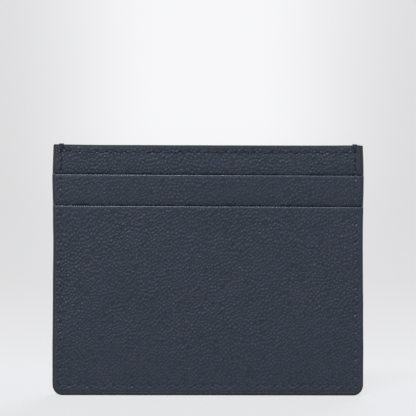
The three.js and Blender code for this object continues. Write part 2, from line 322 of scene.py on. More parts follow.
def pebbles(x, z, seed):
    """(height from 0 to 1, how near a crease from 0 to 1) of pebble grain."""
    u = x + waver(GRAIN_FLOW, x, z, seed + 1) + waver(GRAIN_WAVER, x, z, seed + 2)
    v = z + waver(GRAIN_FLOW, x, z, seed + 3) + waver(GRAIN_WAVER, x, z, seed + 4)
    cosine, sine = math.cos(GRAIN_TURN) / GRAIN_CELL, math.sin(GRAIN_TURN) / GRAIN_CELL
    v = v / GRAIN_TALL
    u, v = cosine * u + sine * v, cosine * v - sine * u
    i, j = np.floor(u).astype(np.int64), np.floor(v).astype(np.int64)
    nearest = np.full(u.shape, np.inf)
    second = np.full(u.shape, np.inf)
    stature = np.zeros(u.shape)
    for di in (-1, 0, 1):
        for dj in (-1, 0, 1):
            ci, cj = i + di, j + dj
            px = ci + 0.5 + GRAIN_JITTER * (lattice(ci, cj, seed + 5) - 0.5)
            pz = cj + 0.5 + GRAIN_JITTER * (lattice(ci, cj, seed + 6) - 0.5)
            away = np.hypot(px - u, pz - v)
            closer = away < nearest
            second = np.where(closer, nearest, np.minimum(second, away))
            stature = np.where(closer, lattice(ci, cj, seed + 7), stature)
            nearest = np.where(closer, away, nearest)
    rim = smooth((second - nearest) / GRAIN_CREASE)
    height = rim * (GRAIN_LOWEST + (1 - GRAIN_LOWEST) * stature) * (1 - GRAIN_DOME * nearest**2)
    return height, 1 - rim


# ---- Outlines ----


def lean(z):
    """How far up the top strip a height lies, from 0 to 1."""
    return np.clip((z - UPPER_MOUTH) / (TOP - UPPER_MOUTH), 0, 1)


def half_width(z):
    """From the middle to the painted side at a height."""
    swell = sum(amount * np.exp(-(((z - at) / wide) ** 2)) for at, amount, wide in SIDE_SWELLS)
    return HALF_WIDTH - TOP_LEAN * lean(z) + swell


def row_x(side, x):
    """The row frame's x for a half's x. The back half is turned round."""
    return x if side == "front" else -np.asarray(x)


def paint_width(row, z):
    """How wide the paint is on the side that a row frame x lies on. It widens near the top."""
    return SIDE_INSET + np.where(np.asarray(row) > 0, *PAINT_WIDENS) * lean(z)


def leather_side(row, z):
    """From the middle to the leather's cut side."""
    return half_width(z) - paint_width(row, z)


def corner_cut(z, low, radius):
    """How far a rounded lower corner pulls the side in at a height."""
    rest = np.clip(radius - (z - low), 0, radius)
    return radius - np.sqrt(np.maximum(radius**2 - rest**2, 0))


def top_shift(row):
    """How far the top line lies above its straight course at a row frame x."""
    u = row / HALF_WIDTH
    return TOP_CURL * np.minimum(u**8, 1) - TOP_SAG * np.clip(1 - u * u, 0, 1) - TOP_DROP * u / 2


def mouth_shift(x):
    """How far a mouth lies above its straight course at a half's x."""
    u = x / HALF_WIDTH
    return MOUTH_RISE - MOUTH_DROP * u / 2 + waver(MOUTH_WAVER, x, 0 * x, MOUTH_SEED)


def face_level(x, z):
    """The depth of the outermost ply's face, over the steps at both mouths."""
    shift = mouth_shift(x)
    below, length = MOUTH_STEP
    past_lower = smooth((z - LOWER_MOUTH - shift + below) / length)
    past_upper = smooth((z - UPPER_MOUTH - shift + below) / length)
    return POCKET[1] + (SLOT[1] - POCKET[1]) * past_lower + (BODY[1] - SLOT[1]) * past_upper


def rolled(away, roll):
    """How far a face has turned down at a distance from its edge."""
    amount, reach = roll
    return amount * (1 - smooth(away / reach)) ** 2


def mouth_lift(x, below):
    """How far a pocket's mouth stands off, at a distance below the mouth."""
    u = x / HALF_WIDTH
    return MOUTH_LIFT * np.clip(1 - u * u, 0, 1) * np.exp(-((below / MOUTH_LIFT_REACH) ** 2))


def line_share(below):
    """How much a point below a ply's upper edge moves with that edge's line."""
    return smooth(1 - below / LINE_REACH)


def place(side, x, out, z):
    """Points of a half, in millimetres, as an array in the row frame."""
    x, out, z = np.broadcast_arrays(x, out, z)
    turn = 1 if side == "front" else -1
    return np.stack([turn * x, -turn * out, z], axis=-1)


# ---- Meshes ----


def mesh_object(name, points, faces, attributes=()):
    """An object from points in millimetres and faces, smooth, with its normals out."""
    mesh = bpy.data.meshes.new(name)
    mesh.from_pydata((np.asarray(points).reshape(-1, 3) * MM).tolist(), [], faces)
    for label, values in attributes:
        layer = mesh.attributes.new(label, "FLOAT", "POINT")
        layer.data.foreach_set("value", np.asarray(values, np.float32).ravel())
    mesh.polygons.foreach_set("use_smooth", np.ones(len(mesh.polygons), bool))
    mesh.update()
    made = bpy.data.objects.new(name, mesh)
    bpy.context.scene.collection.objects.link(made)
    return made


def grid_faces(rows, columns, flip, closed=False, start=0):
    """Quads of a grid of points. closed joins the last column to the first."""
    i, j = np.meshgrid(np.arange(rows - 1), np.arange(columns - (not closed)), indexing="ij")
    right = (j + 1) % columns
    a, b = i * columns + j, i * columns + right
    c, d = (i + 1) * columns + right, (i + 1) * columns + j
    quads = np.stack([a, b, c, d], axis=-1).reshape(-1, 4) + start
    return (quads[:, ::-1] if flip else quads).tolist()


def tube_faces(rings, around, start=0):
    """A closed tube's faces: its rings' quads and its two end caps."""
    faces = grid_faces(rings, around, False, closed=True, start=start)
    first = list(range(start, start + around))
    last = [start + (rings - 1) * around + k for k in range(around)]
    return faces + [first[::-1], last]


def facing_out(made):
    """Turns a closed mesh's faces outward if they point in."""
    mesh = made.data
    mesh.calc_loop_triangles()
    corners = np.empty(len(mesh.loop_triangles) * 3, np.int32)
    mesh.loop_triangles.foreach_get("vertices", corners)
    points = np.empty(len(mesh.vertices) * 3)
    mesh.vertices.foreach_get("co", points)
    a, b, c = points.reshape(-1, 3)[corners.reshape(-1, 3)].transpose(1, 0, 2)
    if (a * np.cross(b, c)).sum() < 0:
        mesh.flip_normals()
    return made


def loft(name, rings):
    """A closed tube through rings of points."""
    rings = np.asarray(rings)
    return facing_out(mesh_object(name, rings, tube_faces(rings.shape[0], rings.shape[1])))


def even_lines(low, high, step):
    """Grid lines from low to high, about a step apart."""
    return np.linspace(low, high, max(2, round((high - low) / step) + 1))


def lines_between(low, high, step, fine=()):
    """Grid lines from low to high, closer together within each fine span."""
    stops = sorted({low, high, *(np.clip(edge, low, high) for part in fine for edge in part)})
    pieces = []
    for a, b in zip(stops, stops[1:]):
        inside = any(part[0] <= (a + b) / 2 <= part[1] for part in fine)
        pieces.append(even_lines(a, b, SEAM_STEP if inside else step)[:-1])
    return np.concatenate([*pieces, [high]])


# ---- Seams: their holes, in the frame of one half ----

WRAP_HOLE = TOP_ROW - WRAP_DROP


def seam_x(z):
    """The side seam leans in with the side along the top strip."""
    return SEAM_X - TOP_LEAN * lean(z)


def holes_along(start, end, pitch):
    """Holes about a pitch apart on a straight line."""
    start, end = np.array(start, float), np.array(end, float)
    count = round(np.linalg.norm(end - start) / pitch)
    return start + (end - start) * np.linspace(0, 1, count + 1)[:, None]


def perimeter_holes():
    """Down the left side, along the bottom and up the right side."""
    down = holes_along((-SEAM_X, WRAP_HOLE), (-SEAM_X, SEAM_LOW), STITCH_PITCH)
    down[:, 0] = -seam_x(down[:, 1])
    along = holes_along((-SEAM_X, SEAM_LOW), (SEAM_X, SEAM_LOW), STITCH_PITCH)
    up = down[::-1] * (-1, 1)
    return np.concatenate([down, along[1:], up[1:]])


def top_row_holes(side):
    """Along the top row, with a last stitch at each end that climbs towards the wrap."""
    out, up = CLIMB
    row_end = TOP_SEAM_END - out
    row = holes_along((-row_end, TOP_ROW), (row_end, TOP_ROW), TOP_PITCH)
    left, right = [(-TOP_SEAM_END, TOP_ROW + up)], [(TOP_SEAM_END, TOP_ROW + up)]
    holes = np.concatenate([left, row, right])
    holes[:, 1] += top_shift(row_x(side, holes[:, 0]))
    return holes


def stop_row_holes():
    """The hidden row that closes the upper slot."""
    z = span("front_slot_stop_thread")[0][2] + THREAD / 2
    reach = span("front_slot_stop_thread")[1][0] - THREAD
    return holes_along((-reach, z), (reach, z), TOP_PITCH)


def turned(t):
    """A direction turned a quarter turn to the left."""
    return np.stack([-t[..., 1], t[..., 0]], axis=-1)


def seam_steps(holes):
    """Each stitch's direction, and each hole's."""
    steps = np.diff(holes, axis=0)
    steps /= np.linalg.norm(steps, axis=1)[:, None]
    at_holes = np.concatenate([steps[:1], steps[:-1] + steps[1:], steps[-1:]])
    return steps, at_holes / np.linalg.norm(at_holes, axis=1)[:, None]


def distance_to(x, z, path):
    """The distance to the nearest stretch of a path of straight pieces."""
    best = np.full(np.shape(x), np.inf)
    for (ax, az), (bx, bz) in zip(path, path[1:]):
        dx, dz = bx - ax, bz - az
        t = np.clip(((x - ax) * dx + (z - az) * dz) / (dx * dx + dz * dz), 0, 1)
        best = np.minimum(best, np.hypot(x - ax - t * dx, z - az - t * dz))
    return best


def hole_pits(x, z, holes):
    """From 0 to 1, how deep a point lies in a needle hole. The holes are slanted slits."""
    pits = np.zeros(np.shape(x))
    _, along = seam_steps(holes)
    slits = HOLE_LEAN * along - 2 * STITCH_SLANT * turned(along)
    slits /= np.linalg.norm(slits, axis=1)[:, None]
    for (hx, hz), (sx, sz) in zip(holes, slits):
        near = (abs(x - hx) < HOLE_REACH) & (abs(z - hz) < HOLE_REACH)
        dx, dz = x[near] - hx, z[near] - hz
        long, wide = (dx * sx + dz * sz) / HOLE_LONG, (dz * sx - dx * sz) / HOLE_WIDE
        pits[near] = np.maximum(pits[near], np.exp(-(long**2) - wide**2))
    return pits


# ---- Leather panels ----


class Ply(NamedTuple):
    """What a leather ply of one half is made from, in millimetres."""

    node: str
    depth: tuple  # of its inner and its outer face
    low: float
    high: float  # under the paint on its upper edge
    radius: float  # of its lower corners
    seams: tuple  # the holes of each seam through it
    fine: tuple = ()  # spans of height where its mesh is finer, for the seams along them
    mouth_in_front: float = NO_MOUTH
    line: Callable = mouth_shift  # how far its upper edge lies above its straight course
    lift: float = 1  # 0 where that edge lies flat, 1 where it stands off


def leather_ply(side, node, depth, **rest):
    """The ply that shows a CAD panel."""
    low, high = span(f"{side}_{node}")
    return Ply(node, depth, low[2], high[2], max(CORNER_R - low[2], 0), **rest)


def leather_plies(side):
    """The three leather plies of a half, from the centre plane out."""
    side_seam = perimeter_holes()
    body = leather_ply(
        side,
        "body_panel",
        BODY,
        seams=(side_seam, top_row_holes(side)),
        fine=((TOP_ROW - SEAM_FINE, TOP_ROW + SEAM_FINE),),
        mouth_in_front=UPPER_MOUTH,
        line=lambda x: top_shift(row_x(side, x)),
        lift=0,
    )
    slot = leather_ply(
        side, "upper_slot_panel", SLOT, seams=(side_seam,), mouth_in_front=LOWER_MOUTH
    )
    pocket = leather_ply(
        side,
        "lower_pocket_panel",
        POCKET,
        seams=(side_seam,),
        fine=((SEAM_LOW - FOOT_SEAM_FINE, SEAM_LOW + FOOT_SEAM_FINE),),
    )
    return body, slot, pocket


def panel_edges(side, x, z, ply):
    """The distance to a panel's sides, and to its bottom where that is rounded."""
    to_side = leather_side(row_x(side, x), z) - abs(x)
    if ply.radius == 0:
        return to_side
    bottom = z - ply.low
    in_corner = (to_side < ply.radius) & (bottom < ply.radius)
    round_off = ply.radius - np.hypot(ply.radius - to_side, ply.radius - bottom)
    return np.where(in_corner, round_off, np.minimum(to_side, bottom))


def grain_strength(x, z, node, seed):
    """Weaker towards the foot and the right, and a little uneven."""
    rise = RELIEF_AT_FOOT + (1 - RELIEF_AT_FOOT) * smooth(z / RELIEF_REACH)
    strength = RELIEF[node] * rise
    return strength * (1 - RELIEF_TILT * x / HALF_WIDTH) * (1 + waver(RELIEF_PATCHES, x, z, seed))


def mouth_shades(x, z, above, seed):
    """How much painted shade a face gets at a height above the mouth in front of it."""
    above = np.maximum(above, 0)
    reach = MOUTH_SHADE_REACH * (1 + waver(MOUTH_SHADE_WAVER, x, 0 * z, seed))
    near = MOUTH_SHADE * np.exp(-((above / reach) ** 2))
    return np.maximum(near, MOUTH_DIM * np.exp(-above / MOUTH_DIM_REACH))


def panel_face(side, x, z, below, ply, seed):
    """(outward shift, nearness to a crease for its painted shade, painted shade) over a panel's
    outer face.
    """
    edge = panel_edges(side, x, z, ply)
    height, crease = pebbles(x, z, seed)
    pressed = smooth(edge / SIDE_PRESS) * smooth(below / MOUTH_PRESS)
    shift = GRAIN_DEPTH * grain_strength(x, z, ply.node, seed + 9) * (height - 0.5)
    shift += sum(waver(size, x, z, seed + 11 + k) for k, size in enumerate(UNEVENNESS))
    shift *= pressed
    shift -= rolled(edge, SIDE_ROLL) + rolled(below, MOUTH_ROLL)
    above = z - ply.mouth_in_front - mouth_shift(x)
    shift -= TUCK * np.exp(-np.maximum(above, 0) / TUCK_REACH)
    shade = mouth_shades(x, z, above, seed + 13)
    pocket_pit, top_pit = PIT_SHADE
    dark = pocket_pit + (top_pit - pocket_pit) * smooth((z - UPPER_MOUTH) / PIT_SHADE_REACH)
    for holes in ply.seams:
        away = distance_to(x, z, holes)
        shift -= SEAM_VALLEY * np.exp(-((away / SEAM_VALLEY_REACH) ** 2))
        pits = hole_pits(x, z, holes)
        shift -= HOLE_DEPTH * pits
        shade = np.maximum(shade, dark * pits)
    return shift, crease * pressed, shade


def panel_rows(ply):
    """Heights of a panel's rows: close together where it shows, and at its rounded foot."""
    start = ply.low
    rows = []
    if ply.radius > 0:
        foot = ply.radius * (1 - np.cos(np.linspace(0, FOOT_TURN, FOOT_ROWS)))
        rows.append(start + foot[:-1])
        start += foot[-1]
    shows = ply.mouth_in_front - HIDDEN_MARGIN
    if shows > start:
        rows.append(even_lines(start, shows, HIDDEN_STEP)[:-1])
        start = shows
    rows.append(lines_between(start, ply.high - RIM_STRIP, GRAIN_STEP, ply.fine))
    return np.concatenate([*rows, [ply.high]])


def planar_map(made, outer_faces):
    """A bake map that gives nearly all its room to the panel's outer face."""
    margin, outer_room, rest_at, rest_room = 0.004, 0.9, 0.93, 0.03
    mesh = made.data
    points = np.empty(len(mesh.vertices) * 3)
    mesh.vertices.foreach_get("co", points)
    points = points.reshape(-1, 3)
    low, size = points.min(0), np.ptp(points, axis=0)
    corners = np.empty(len(mesh.loops), np.int32)
    mesh.loops.foreach_get("vertex_index", corners)
    across, depth, up = ((points[corners] - low) / size).T
    outer = np.arange(len(corners)) < outer_faces * 4
    u = margin + (1 - 2 * margin) * across
    v = np.where(outer, margin + outer_room * up, rest_at + rest_room * up + rest_room * depth)
    mesh.uv_layers.new(name="OFBake").uv.foreach_set("vector", np.stack([u, v], 1).ravel())


def leather_name(side, node):
    """The name of the piece that shows a leather panel's node."""
    return f"{side}_{node}".replace("panel", "leather")


def rim_of(rows, columns):
    """The indices round the edge of a grid of points, counter-clockwise from its first."""
    return np.concatenate(
        [
            np.arange(columns),
            np.arange(1, rows) * columns + columns - 1,
            (rows - 1) * columns + np.arange(columns - 2, -1, -1),
            np.arange(rows - 2, 0, -1) * columns,
        ]
    )


def leather_panel(side, ply, seed):
    """One leather ply: a grained outer face, a rolled rim and a plain flesh side."""
    reach = PANEL_SIDE - RIM_STRIP
    seams = [(right * SEAM_X - SEAM_FINE, right * SEAM_X + SEAM_FINE) for right in (-1, 1)]
    columns = [-PANEL_SIDE, *lines_between(-reach, reach, GRAIN_STEP, seams), PANEL_SIDE]
    level, across = np.meshgrid(panel_rows(ply), np.array(columns) / PANEL_SIDE, indexing="ij")
    below = ply.high - level
    cut_side = leather_side(row_x(side, across), level)
    x = across * (cut_side - corner_cut(level, ply.low, ply.radius))
    z = level + ply.line(x) * line_share(below)
    shift, crease, shade = panel_face(side, x, z, below, ply, seed)
    lift = ply.lift * mouth_lift(x, below)
    n, m = x.shape
    rim = rim_of(n, m)
    start = n * m
    faces = grid_faces(n, m, False)
    for k, (here, after) in enumerate(zip(rim, np.roll(rim, -1))):
        faces.append([int(after), int(here), start + k, start + (k + 1) % len(rim)])
    # The flesh side: upright strips, and one wide face at each side that takes in its rim.
    bottom, right = start + np.arange(m), start + m - 1 + np.arange(n)
    top = start + m + n - 2 + np.arange(m)
    left = np.append(start + 2 * m + n - 3 + np.arange(n - 1), start)
    flesh = [[bottom[k], bottom[k + 1], top[m - 2 - k], top[m - 1 - k]] for k in range(1, m - 2)]
    flesh += [[*right, top[1], bottom[m - 2]], [*left, bottom[1], top[m - 2]]]
    faces += [[int(corner) for corner in reversed(face)] for face in flesh]
    inner, outer = ply.depth
    face_points = place(side, x, outer + shift + lift, z).reshape(-1, 3)
    flesh_points = place(side, x.flat[rim], inner + lift.flat[rim], z.flat[rim])
    plain = np.zeros(len(rim))
    made = mesh_object(
        leather_name(side, ply.node),
        np.concatenate([face_points, flesh_points]),
        faces,
        [
            ("crease", np.concatenate([crease.ravel(), plain])),
            ("shade", np.concatenate([shade.ravel(), plain])),
        ],
    )
    planar_map(facing_out(made), (n - 1) * (m - 1))
    return made


# ---- Woven linings and tapes ----


def woven_ply(side, node, ply, seed):
    """A thin woven ply inside the holder, a closed sheet that follows the leather it backs."""
    low, high = span(f"{side}_{node}")
    inner, outer = depths(f"{side}_{node}")
    levels = even_lines(low[2], high[2], CLOTH_STEP)
    level, x = np.meshgrid(levels, even_lines(-high[0], high[0], CLOTH_STEP), indexing="ij")
    below = high[2] - level
    x = x - np.sign(x) * corner_cut(level, low[2], max(CORNER_R - low[2], 0)) * abs(x) / high[0]
    z = level + ply.line(x) * line_share(below)
    stand = ply.lift * mouth_lift(x, below) + waver(CLOTH_RIPPLE, x, z, seed)
    n, m = x.shape
    rim = rim_of(n, m)
    faces = grid_faces(n, m, False) + grid_faces(n, m, True, start=n * m)
    for here, after in zip(rim.tolist(), np.roll(rim, -1).tolist()):
        faces.append([after, here, here + n * m, after + n * m])
    layers = [place(side, x, depth + stand, z).reshape(-1, 3) for depth in (outer, inner)]
    return facing_out(mesh_object(f"{side}_{node}_cloth", np.concatenate(layers), faces))


# ---- Painted edges ----


def shoulder_points(width, outer, shoulder, roll, lip):
    """From a lip on the outer face over a shoulder, as (reach out, depth) points.

    shoulder is how far the rounding reaches back along the face and how far it goes in.
    """
    inset = np.array([lip, 0.6 * lip, 0.3 * lip])
    film = np.array([-LIP_SUNK, 0.8 * PAINT_FILM, PAINT_FILM])
    turn = np.linspace(0, math.pi / 2, 8)
    brow = outer - roll[0] + PAINT_FILM
    lap = np.stack([-inset, outer - rolled(inset, roll) + film], axis=1)
    along, back = shoulder
    reach = width - along * (1 - np.sin(turn))
    over = np.stack([reach, brow - back * (1 - np.cos(turn))], axis=1)
    return np.concatenate([lap, over])


def side_section(width, front, back, lip):
    """The closed section of the paint over both halves' plies, with faint grooves between them."""
    round_off = min(width, PAINT_SHOULDER)
    near = shoulder_points(width, front, (round_off, min(round_off, 0.5 * front)), SIDE_ROLL, lip)
    far = shoulder_points(width, back, (round_off, min(round_off, 0.5 * back)), SIDE_ROLL, lip)
    far = far[::-1] * (1, -1)
    depth = np.linspace(near[-1, 1], far[0, 1], GROOVE_POINTS)[1:-1]
    reach = np.full(len(depth), width)
    for boundary in (0, BODY[1], -BODY[1], SLOT[1], -SLOT[1]):
        reach -= PLY_GROOVE * np.exp(-(((depth - boundary) / PLY_GROOVE_WIDTH) ** 2))
    bite = [(-PAINT_BITE, SIDE_BITE_INSET - back), (-PAINT_BITE, front - SIDE_BITE_INSET)]
    return np.concatenate([near, np.stack([reach, depth], axis=1), far, bite])


def rim_section(width, inner, outer, arris, lip):
    """The closed section of the paint on one ply's upper edge."""
    near = shoulder_points(width, outer, (arris, arris), MOUTH_ROLL, lip)
    turn = np.linspace(0, math.pi / 2, 4)
    reach = width - arris * (1 - np.cos(turn))
    depth = inner + arris * (1 - np.sin(turn))
    bite = [(-PAINT_BITE, inner), (-PAINT_BITE, outer - RIM_BITE_INSET)]
    return np.concatenate([near, np.stack([reach, depth], axis=1), bite])


def side_path():
    """Points and outward directions down the left side, along the bottom and up the right."""
    radius = CORNER_R - PANEL_LOW
    near = COAT_MOUTH_FINE
    mouths = [(mouth - near, mouth + near) for mouth in (LOWER_MOUTH, UPPER_MOUTH)]
    rise = lines_between(CORNER_R, TOP - COAT_TOP, COAT_STEP, mouths)
    rise = np.append(rise[:-1], even_lines(TOP - COAT_TOP, TOP, COAT_TOP_STEP))
    turn = np.linspace(math.pi / 2, 0, COAT_CORNER_RINGS + 2)[1:-1]
    right_side, left_side = leather_side(1, rise), leather_side(-1, rise)
    corner_x = right_side[0] - radius
    corner = corner_x + radius * np.cos(turn)
    right_z = np.append(CORNER_R - radius * np.sin(turn), rise)
    tilt = np.append(turn, 0 * rise)
    along = even_lines(-corner_x, corner_x, COAT_STEP)
    left_x = -np.append(corner, left_side)
    x = np.concatenate([left_x[::-1], along, corner, right_side])
    z = np.concatenate([right_z[::-1], np.full(len(along), PANEL_LOW), right_z])
    tilt = np.concatenate([tilt[::-1], np.full(len(along), math.pi / 2), tilt])
    return x, z, np.sign(x) * np.cos(tilt), -np.sin(tilt)


def side_coat():
    """The paint on both sides' and the bottom's cut edges: one coat round the holder."""
    rings = []
    for x, z, out_x, out_z in zip(*side_path()):
        raised = top_shift(x) * smooth((z - UPPER_MOUTH) / LINE_REACH)
        width = paint_width(x, z) + (PANEL_LOW - SIDE_INSET) * out_z**2
        width *= 1 + waver(PAINT_WAVER, x, z, SIDE_COAT_SEED) * (1 - out_z**2)
        crown = 1 - np.clip((TOP - z) / TOP_CORNER, 0, 1)
        width *= TOP_CORNER_WIDTH + (1 - TOP_CORNER_WIDTH) * math.sqrt(1 - crown**2)
        lip = PAINT_LIP + waver(LIP_WAVER, x, z, SIDE_COAT_SEED + 1)
        section = side_section(width, face_level(x, z), face_level(-x, z), lip)
        reach, depth = section.T
        dimple, cell = PAINT_DIMPLES
        along = x + z + 0 * depth
        reach = reach - dimple * (1 + noise(1.3 * depth, along, cell, SIDE_COAT_SEED + 2))
        rings.append(place("front", x + out_x * reach, depth, z + raised + out_z * reach))
    return loft("perimeter_edge_coat", rings)


def rim_coat(side, node, ply, arris, seed):
    """The paint on a ply's upper edge, from side to side, in place of one CAD edge paint."""
    high = span(f"{side}_{node}")[1]
    inner, outer = depths(f"{side}_{node}")
    width = high[2] - ply.high
    left, right = (leather_side(row_x(side, end), ply.high) for end in (-1, 1))
    rings = []
    for x in even_lines(-left - RIM_OVERLAP, right + RIM_OVERLAP, RIM_STEP):
        lip = RIM_LIP * (1 + waver(RIM_LIP_WAVER, x, 0.0, seed))
        reach, depth = rim_section(width, inner, outer, arris, lip).T
        z = ply.high + ply.line(x) + waver(RIM_WAVER, x, 0.0, seed + 1) + reach
        stand = ply.lift * mouth_lift(x, 0.0) + waver(RIM_STAND_WAVER, x, 0.0, seed + 2)
        turned_in = rolled(np.maximum((left if x < 0 else right) - abs(x), 0), SIDE_ROLL)
        depth = depth - turned_in * (depth - inner) / (outer - inner)
        rings.append(place(side, x, depth + stand, z))
    return loft(f"{side}_{node}".replace("paint", "coat"), rings)


# ---- Threads ----


def thread_rings(points, up, radius):
    """The rings of a laid thread along points. up points away from what it lies on."""
    steps = np.gradient(points, axis=0)
    steps /= np.linalg.norm(steps, axis=1)[:, None]
    gone = np.append(0, np.cumsum(np.linalg.norm(np.diff(points, axis=0), axis=1)))
    across = np.cross(steps, up)
    across /= np.linalg.norm(across, axis=1)[:, None]
    over = np.cross(across, steps)
    angles = np.linspace(0, 2 * math.pi, THREAD_SIDES, endpoint=False)
    strands = 1 + STRAND_RELIEF * np.cos(3 * angles - 2 * math.pi * gone[:, None] / STRAND_LAY)
    reach = (radius[:, None] * strands)[..., None]
    turns = np.cos(angles)[:, None] * across[:, None] + np.sin(angles)[:, None] * over[:, None]
    return points[:, None] + reach * turns


def seam_stitches(side, holes, level, seed):
    """The rings of each stitch of a seam on one half. level gives the leather's face."""
    steps, _ = seam_steps(holes)
    up = place(side, 0.0, 1.0, 0.0)
    t = np.linspace(0, 1, 17)
    arch = 1 - abs(2 * t - 1) ** 3.5
    made = []
    for k, step in enumerate(steps):
        slant = STITCH_SLANT * turned(step)
        on_side = abs(step[1]) > 0.9
        inset = STITCH_GAP * step - slant
        start, end = holes[k] + inset, holes[k + 1] - inset
        x, z = (start + (end - start) * t[:, None]).T
        radius = STITCH_R * (1 + STITCH_UNEVEN * (lattice(k, 5, seed) - 0.5))
        radius *= DOUBLED if on_side and min(start[1], end[1]) > UPPER_MOUTH else 1
        crest = STITCH_RISE + RISE_UNEVEN * lattice(k, 8, seed) - radius
        out = level(x, z) - STITCH_DIP + (STITCH_DIP + crest) * arch
        taper = radius * (1 - STITCH_TAPER * abs(2 * t - 1) ** 5)
        made.append(thread_rings(place(side, x, out, z), up, taper))
    return made


def wrap_strands():
    """The rings of the strands that go over the top edge at both ends of the side seam."""
    made = []
    reach, low = BODY[1] + WRAP_STAND - WRAP_R, WRAP_HOLE + WRAP_START
    front_foot = [(reach - sunk, WRAP_HOLE + up) for sunk, up in WRAP_FOOT]
    back_foot = [(-depth, height) for depth, height in reversed(front_foot)]
    angle = np.linspace(0, math.pi, 41)
    across = reach * np.sign(np.cos(angle)) * abs(np.cos(angle)) ** WRAP_SQUARE
    for right in (-1, 1):
        peak = TOP + top_shift(right * SEAM_X) + WRAP_RISE - WRAP_R - low
        over = np.stack([across, low + peak * np.sin(angle) ** WRAP_SQUARE], axis=1)
        depth, height = np.concatenate([front_foot, over, back_foot]).T
        fan = WRAP_GATHER + (1 - WRAP_GATHER) * np.sin(np.linspace(0, math.pi, len(depth)))
        for strand in (-1, 0, 1):
            x = right * seam_x(TOP) + strand * WRAP_SPREAD * fan
            points = place("front", x, depth, height)
            centre = np.array([points[:, 0].mean(), 0, low])
            up = points - centre + (0, 0, 1e-6)
            made.append(thread_rings(points, up, np.full(len(points), WRAP_R)))
    return made


def joined_threads(name, threads):
    """One object of many threads, with a painted shade that is darker over the top strip."""
    points, faces, start = [], [], 0
    for rings in threads:
        faces += tube_faces(rings.shape[0], rings.shape[1], start)
        points.append(rings.reshape(-1, 3))
        start += len(points[-1])
    points = np.concatenate(points)
    shade = smooth((points[:, 2] - UPPER_MOUTH) / THREAD_SHADE_REACH)
    return facing_out(mesh_object(name, points, faces, [("shade", shade)]))


# ---- Materials ----


class Shader:
    """A material's node tree, built with short calls."""

    def __init__(self, tree):
        self.nodes = tree.nodes
        self.links = tree.links
        self.bsdf = self.nodes.get("Principled BSDF")

    def add(self, kind, **settings):
        """A node of a kind, with its own settings and the values or links of its inputs."""
        node = self.nodes.new(f"ShaderNode{kind}")
        for key, value in settings.items():
            if hasattr(node, key):
                setattr(node, key, value)
            else:
                self.join(value, node.inputs[key.replace("_", " ")])
        return node

    def join(self, value, socket):
        """Links a value that is a socket, and sets any other."""
        if isinstance(value, bpy.types.NodeSocket):
            self.links.new(value, socket)
        else:
            socket.default_value = value

    def set(self, **inputs):
        """Sets or links the material's Principled inputs."""
        for key, value in inputs.items():
            self.join(value, self.bsdf.inputs[key.replace("_", " ")])

    def place(self):
        """The point on the object, in metres."""
        return self.add("TexCoord").outputs["Object"]

    def attribute(self, name):
        """A mesh attribute of that name."""
        return self.add("Attribute", attribute_name=name).outputs["Fac"]

    def noise(self, scale, detail=2.0, roughness=0.5):
        """Noise from 0 to 1, with about as many lumps to the metre as its scale."""
        node = self.add("TexNoise", Vector=self.place(), Scale=scale, Detail=detail)
        self.join(roughness, node.inputs["Roughness"])
        return node.outputs["Fac"]

    def span(self, value, low, high):
        """A value from 0 to 1 spread from low to high."""
        return self.ease(value, (0, 1), (low, high), "LINEAR")

    def blend(self, factor, first, second, mode="MIX"):
        """Two colours mixed by a factor."""
        node = self.add("Mix", data_type="RGBA", blend_type=mode)
        self.join(factor, node.inputs["Factor"])
        colours = [socket for socket in node.inputs if socket.type == "RGBA"]
        self.join(first, colours[0])
        self.join(second, colours[1])
        return next(socket for socket in node.outputs if socket.type == "RGBA")

    def math(self, operation, first, second):
        """The result of an operation on two values."""
        node = self.add("Math", operation=operation)
        self.join(first, node.inputs[0])
        self.join(second, node.inputs[1])
        return node.outputs[0]

    def ease(self, value, source, target, kind="SMOOTHSTEP"):
        """A value's range source laid onto the range target."""
        node = self.add("MapRange", Value=value, interpolation_type=kind)
        for label, number in zip(("From Min", "From Max", "To Min", "To Max"), source + target):
            node.inputs[label].default_value = number
        return node.outputs["Result"]

    def bump(self, height, strength, distance=0.00003):
        """A normal that a height roughens."""
        node = self.add("Bump", Height=height, Distance=distance, Strength=strength)
        return node.outputs["Normal"]


def new_material(name):
    """A material and the short calls for its node tree."""
    material = bpy.data.materials.new(name)
    material.use_nodes = True
    return material, Shader(material.node_tree)


def colour(red, green, blue):
    """An opaque colour."""
    return (red, green, blue, 1.0)


def leather_material():
    """Navy leather with painted shade in its creases, in needle holes and behind mouths."""
    material, s = new_material("Navy pebbled leather")
    crease, shade = s.attribute("crease"), s.attribute("shade")
    patches = s.ease(s.noise(170, detail=4, roughness=0.6), (0.36, 0.64), (0, 1))
    tone = s.blend(patches, colour(*LEATHER_DEEP), colour(*LEATHER_PALE))
    # painted shade in the grain's creases
    tone = s.blend(s.span(crease, 0, 0.85), tone, colour(*LEATHER_CREASE_SHADE))
    # painted shade behind mouths and in needle holes
    tone = s.blend(s.span(shade, 0, 0.95), tone, colour(*LEATHER_SHADE))
    rough = s.span(crease, *LEATHER_ROUGH)
    pores = s.bump(s.noise(2600, detail=3, roughness=0.6), 0.6)
    s.set(Base_Color=tone, Roughness=rough, Normal=pores)
    # less gloss where the painted shade lies
    s.set(Specular_IOR_Level=s.span(shade, *LEATHER_SPECULAR))
    return material


def paint_material(name, base, rough):
    """Edge paint, a little uneven in its tone and its gloss."""
    material, s = new_material(name)
    tone = s.blend(s.noise(160), colour(*base), colour(*(1.25 * part for part in base)))
    s.set(Base_Color=tone, Roughness=s.span(s.noise(500), rough - 0.06, rough + 0.06))
    s.set(Normal=s.bump(s.noise(1400), 0.5))
    return material


